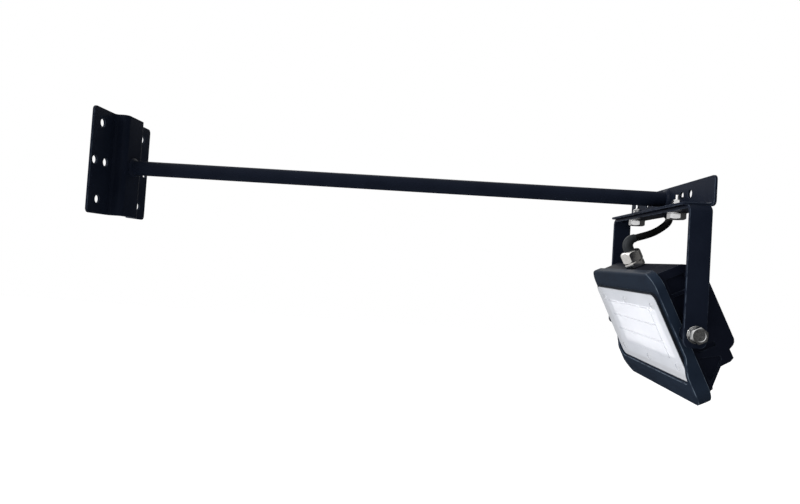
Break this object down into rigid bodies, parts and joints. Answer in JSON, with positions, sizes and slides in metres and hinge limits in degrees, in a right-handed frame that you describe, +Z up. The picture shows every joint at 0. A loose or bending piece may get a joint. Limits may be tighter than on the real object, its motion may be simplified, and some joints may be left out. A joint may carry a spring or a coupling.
{
  "type": "led floodlight",
  "caption": "Outdoor LED floodlight on a long wall arm: wall plate, tube, angle bracket and U-shaped yoke, with a flat square lamp that tilts and a cable looped to a gland.",
  "frame": {"origin": "centre of the wall plate's back face, on the wall", "axes": "+X out of the wall along the arm, +Z up, +Y to the left of someone who looks at the wall from in front"},
  "size_m": [0.8287, 0.2788, 0.3176],
  "materials": {
    "dark_coat": "textured dark blue-grey powder coat on steel",
    "cast_frame": "slate-grey powder coat on cast aluminium",
    "cast_coat": "dark grey powder coat on cast aluminium",
    "clear_cover": "clear moulded cover",
    "seal_rubber": "smooth dark seal",
    "white_plastic": "matt white",
    "white_board": "white solder mask on an aluminium core",
    "phosphor": "yellow phosphor",
    "optic_plastic": "clear moulded optics",
    "zinc": "bright zinc plate",
    "nickel": "nickel-plated brass",
    "black_rubber": "matt black",
    "boot_rubber": "matt dark grey",
    "cable_jacket": "satin black jacket",
    "core_insulation": "coloured core insulation",
    "driver_can": "plain sheet aluminium"
  },
  "bodies": {
    "bracket": {"wall_plate": "dark_coat", "arm_tube": "dark_coat", "arm_welds": "dark_coat", "end_angle": "dark_coat", "yoke": "dark_coat", "yoke_bolts": "zinc", "yoke_washers": "zinc", "cable_grommet": "black_rubber", "arm_lead": "cable_jacket", "lead_cores": "core_insulation", "lead_loop": "cable_jacket"},
    "lamp": {"front_frame": "cast_frame", "lens": "clear_cover", "lens_seal": "seal_rubber", "reflector": "white_plastic", "led_board": "white_board", "led_chips": "phosphor", "led_optics": "optic_plastic", "board_screws": "zinc", "lens_screws": "zinc", "housing": "cast_coat", "housing_gasket": "black_rubber", "frame_screws": "zinc", "driver_cover": "cast_coat", "cover_gasket": "black_rubber", "cover_screws": "zinc", "driver_case": "driver_can", "driver_screws": "zinc", "led_wires": "core_insulation", "gland_body": "nickel", "gland_ring": "black_rubber", "gland_nut": "nickel", "gland_bush": "black_rubber", "cable_boot": "boot_rubber", "lead_tail": "cable_jacket", "pivot_bolts": "zinc", "pivot_washers": "zinc", "pivot_spring_washers": "zinc", "pivot_pads": "black_rubber"}
  },
  "joints": [
    {"name": "lamp_tilt", "type": "hinge", "parent": "bracket", "child": "lamp", "pos_m": [0.7375, 0, -0.1645], "axis": [0, 1, 0], "range_deg": [-50, 40], "deforming": ["lead_loop"]}
  ]
}
